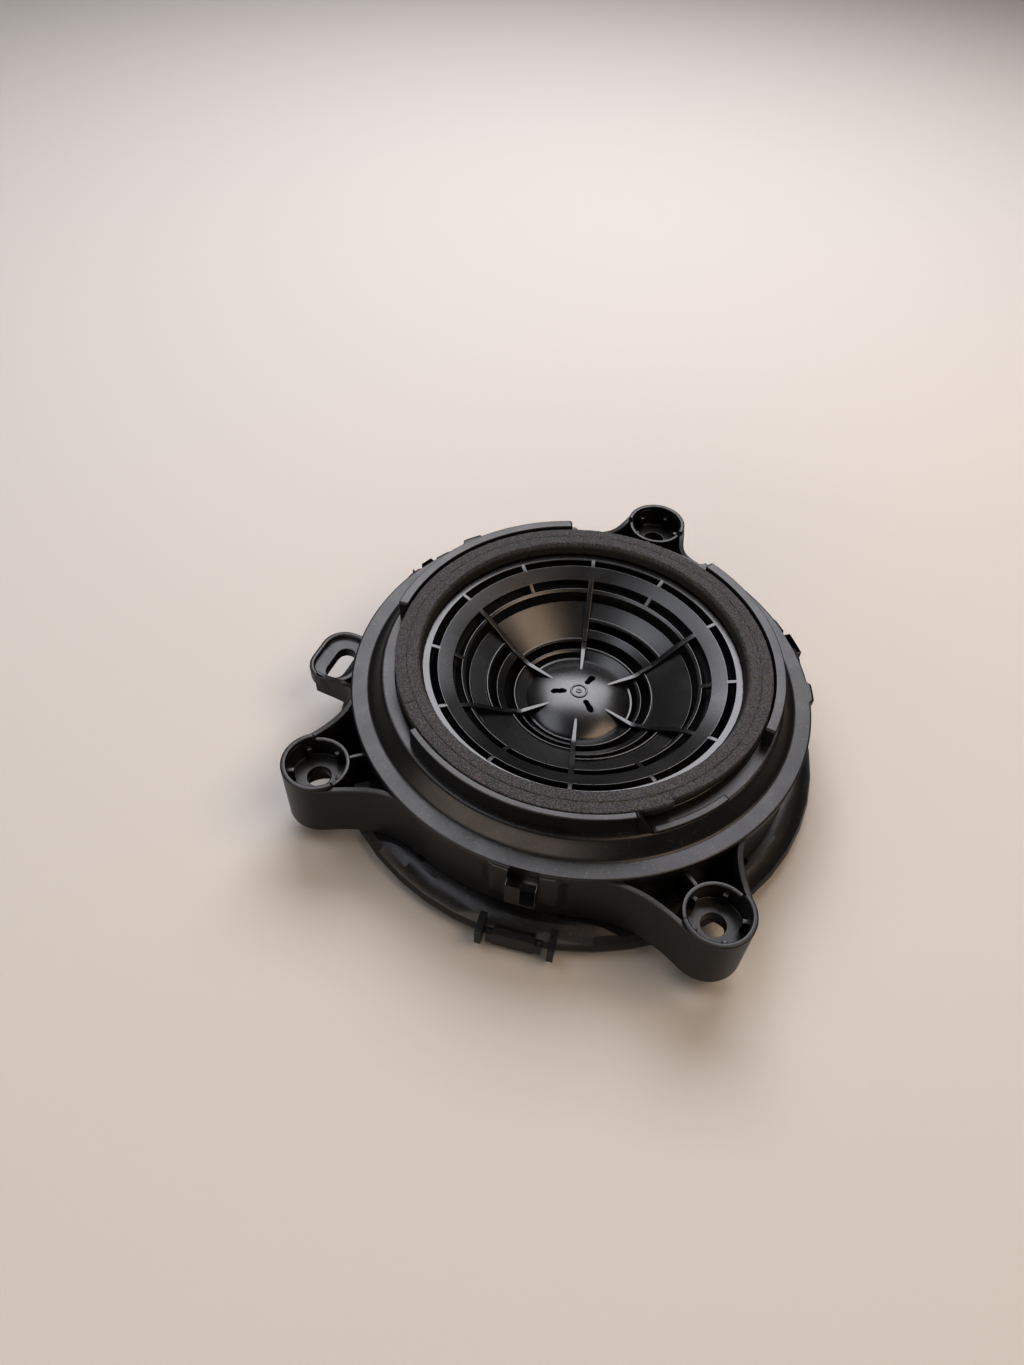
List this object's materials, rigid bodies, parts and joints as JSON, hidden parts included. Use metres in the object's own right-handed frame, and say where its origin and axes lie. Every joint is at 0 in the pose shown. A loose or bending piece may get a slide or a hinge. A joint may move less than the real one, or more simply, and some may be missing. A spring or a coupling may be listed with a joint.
{
  "type": "automotive midrange loudspeaker",
  "caption": "Round car door loudspeaker in a black moulded ring with screw ears, lens grille over the cone, foam gasket and a shallow rear housing.",
  "frame": {"origin": "centre of the flat rear face of the housing, on the speaker axis", "axes": "+Z along the speaker axis, the way the sound leaves; +Y towards the single screw ear opposite the pair; +X completes the right-handed frame"},
  "size_m": [0.1366, 0.1481, 0.0368],
  "materials": {
    "moulding": "fine satin texture",
    "housing": "matt",
    "lens": "semi-gloss",
    "foam": "open-cell foam",
    "fibre": "pressed fibre",
    "coated_steel": "black coating",
    "rubber": "matt",
    "pulp": "pressed paper pulp",
    "foil": "foil",
    "copper": "enamelled wire",
    "cloth": "resin-dipped cloth",
    "zinc": "zinc plated",
    "nickel": "nickel plated",
    "tinned_brass": "tinned"
  },
  "bodies": {
    "chassis": {"mounting_ring": "moulding", "rear_housing": "housing", "lens_grille": "lens", "gasket_inner_ring": "foam", "gasket_outer_strip_a": "foam", "gasket_outer_strip_b": "foam", "surround_clamp_ring": "fibre", "driver_basket": "coated_steel", "surround": "rubber", "spider": "cloth", "yoke_cup": "zinc", "magnet": "nickel", "top_plate": "zinc", "lead_wire_a": "copper", "lead_wire_b": "copper", "lead_tag_a": "tinned_brass", "lead_tag_b": "tinned_brass", "connector_pin_a": "tinned_brass", "connector_pin_b": "tinned_brass", "basket_screw_1": "zinc", "basket_screw_2": "zinc", "basket_screw_3": "zinc", "basket_screw_4": "zinc"},
    "moving_assembly": {"cone": "pulp", "dust_cap": "pulp", "coil_former": "foil", "coil_winding": "copper"}
  },
  "joints": [
    {"name": "cone_travel", "type": "slide", "parent": "chassis", "child": "moving_assembly", "axis": [0, 0, 1], "range_m": [-0.0015, 0.0015], "stiffness_N_per_m": 1200, "deforming": ["surround", "spider", "lead_wire_a", "lead_wire_b"]}
  ]
}
